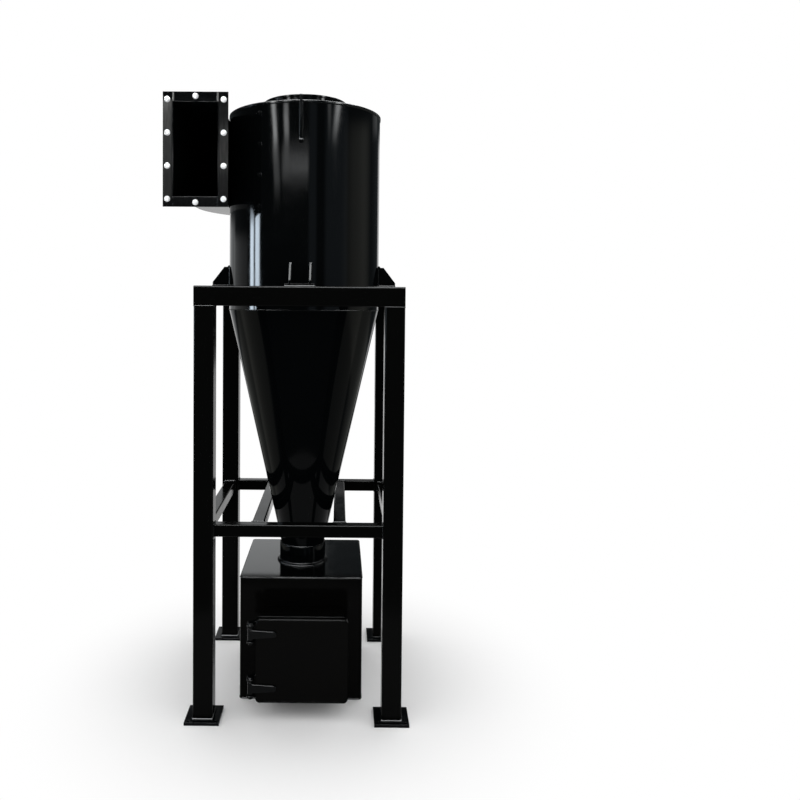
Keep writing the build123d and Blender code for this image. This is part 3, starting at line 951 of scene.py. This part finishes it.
# %% [markdown]
# Ten bolts go through the inlet flange, where the duct of the next machine is to be joined. Each
# one has a hexagon head on a washer in front, and a washer, a nut and the end of its thread
# behind. One bolt is stacked up from prisms and cones, and a copy is placed on each hole with its
# own turn, since nobody lines up the flats. The chamfer starts a hair inside the hexagon's edge,
# so that each piece of the stack stays a closed solid of its own.

# %% Flange bolts: the tree
CHAMFER = 0.0014
CHAMFER_STEP = 0.0002
WASHER_SIDES = 28
HEX_SIDES = 6
THREAD_SIDES = 16
FORWARD, BACKWARD = 1, -1
TO_THE_FRONT = (math.pi / 2, 0, 0)


def bolt_tree():
    tree, given = new_tree("flange_bolt", {
        "Washer radius": "Float", "Washer thickness": "Float", "Flat radius": "Float",
        "Head height": "Float", "Nut height": "Float", "Thread radius": "Float",
        "Thread out": "Float", "Grip": "Float", "Seed": "Int", "Zinc": "Material"})
    joined = add_node(tree, "GeometryNodeJoinGeometry")

    def stack(near, far, sides, start, height, way):
        """Adds a solid from its radius near the flange and far from it, and gives its end."""
        low, high = (near, far) if way == FORWARD else (far, near)
        solid = add_node(tree, "GeometryNodeMeshCone", {
            "Vertices": sides, "Radius Bottom": low, "Radius Top": high, "Depth": height})
        end = math_node(tree, "ADD", start, height)
        bottom = start if way == FORWARD else math_node(tree, "MULTIPLY", end, BACKWARD)
        place = add_node(tree, "ShaderNodeCombineXYZ", {"Z": bottom}).outputs[0]
        moved = add_node(tree, "GeometryNodeTransform",
                         {0: solid.outputs[0], "Translation": place})
        tree.links.new(moved.outputs[0], joined.inputs[0])
        return end

    corner = math_node(tree, "DIVIDE", given["Flat radius"], math.cos(math.pi / HEX_SIDES))
    rim = math_node(tree, "SUBTRACT", corner, CHAMFER_STEP)
    bevelled = math_node(tree, "SUBTRACT", corner, CHAMFER)
    washer = (given["Washer radius"], given["Washer radius"], WASHER_SIDES)
    hexagon = (corner, corner, HEX_SIDES)
    chamfer = (rim, bevelled, HEX_SIDES)
    thread = (given["Thread radius"], given["Thread radius"], THREAD_SIDES)
    head_body = math_node(tree, "SUBTRACT", given["Head height"], CHAMFER)
    nut_body = math_node(tree, "SUBTRACT", given["Nut height"], CHAMFER)
    for start, body, way in ((0, head_body, FORWARD), (given["Grip"], nut_body, BACKWARD)):
        end = stack(*washer, start, given["Washer thickness"], way)
        end = stack(*hexagon, end, body, way)
        end = stack(*chamfer, end, CHAMFER, way)
    stack(*thread, end, given["Thread out"], BACKWARD)

    any_turn = add_node(tree, "FunctionNodeRandomValue",
                        {"Min": 0.0, "Max": 2 * math.pi / HEX_SIDES, "Seed": given["Seed"]},
                        data_type="FLOAT").outputs[1]
    spin = add_node(tree, "FunctionNodeAxisAngleToRotation",
                    {"Axis": (0, 0, 1), "Angle": any_turn}).outputs[0]
    forward = add_node(tree, "FunctionNodeEulerToRotation", {0: TO_THE_FRONT}).outputs[0]
    turn = add_node(tree, "FunctionNodeRotateRotation", {0: forward, 1: spin},
                    rotation_space="LOCAL").outputs[0]
    bolts = add_node(tree, "GeometryNodeInstanceOnPoints", {
        "Points": given["Geometry"], "Instance": joined.outputs[0], "Rotation": turn})
    close_tree(tree, bolts.outputs[0], given["Zinc"])
    return tree


flange_bolt = bolt_tree()
print("the bolt tree has", len(flange_bolt.nodes), "nodes")

# %% [markdown]
# The frame's own record says where the holes of a pattern are, by its middle and its spacings.
# The two side rows give eight holes in two patterns of four, and the ends give one hole at the
# top and one at the bottom.

# %% Flange bolts: on their holes
MM_PER_METRE = 1000
BOLT = {
    "Washer radius": 0.012,
    "Washer thickness": 0.0025,
    "Flat radius": 0.0095,
    "Head height": 0.0075,
    "Nut height": 0.010,
    "Thread radius": 0.006,
    "Thread out": 0.007,
    "Grip": 0.005,
    "Seed": 3,
    "Zinc": bolt_zinc,
}


def hole_places(mount):
    """The hole centres of a bolt pattern on the front face of the flange."""
    middle = Vector(mount["pos_m"])
    half_x = mount["dims"].get("spacing_x_mm", 0) / 2 / MM_PER_METRE
    half_z = mount["dims"]["spacing_y_mm"] / 2 / MM_PER_METRE
    return sorted({(middle.x + side * half_x, middle.y, middle.z + end * half_z)
                   for side in (-1, 1) for end in (-1, 1)})


bolt_places = []
for mount in frame["record"]["mounts"]:
    if mount["name"].startswith("inlet_flange"):
        bolt_places += hole_places(mount)
keep_result("flange_bolts", flange_bolt, bolt_places, [], BOLT, FIXED_BODY)
print("bolts in the flange:", len(bolt_places))
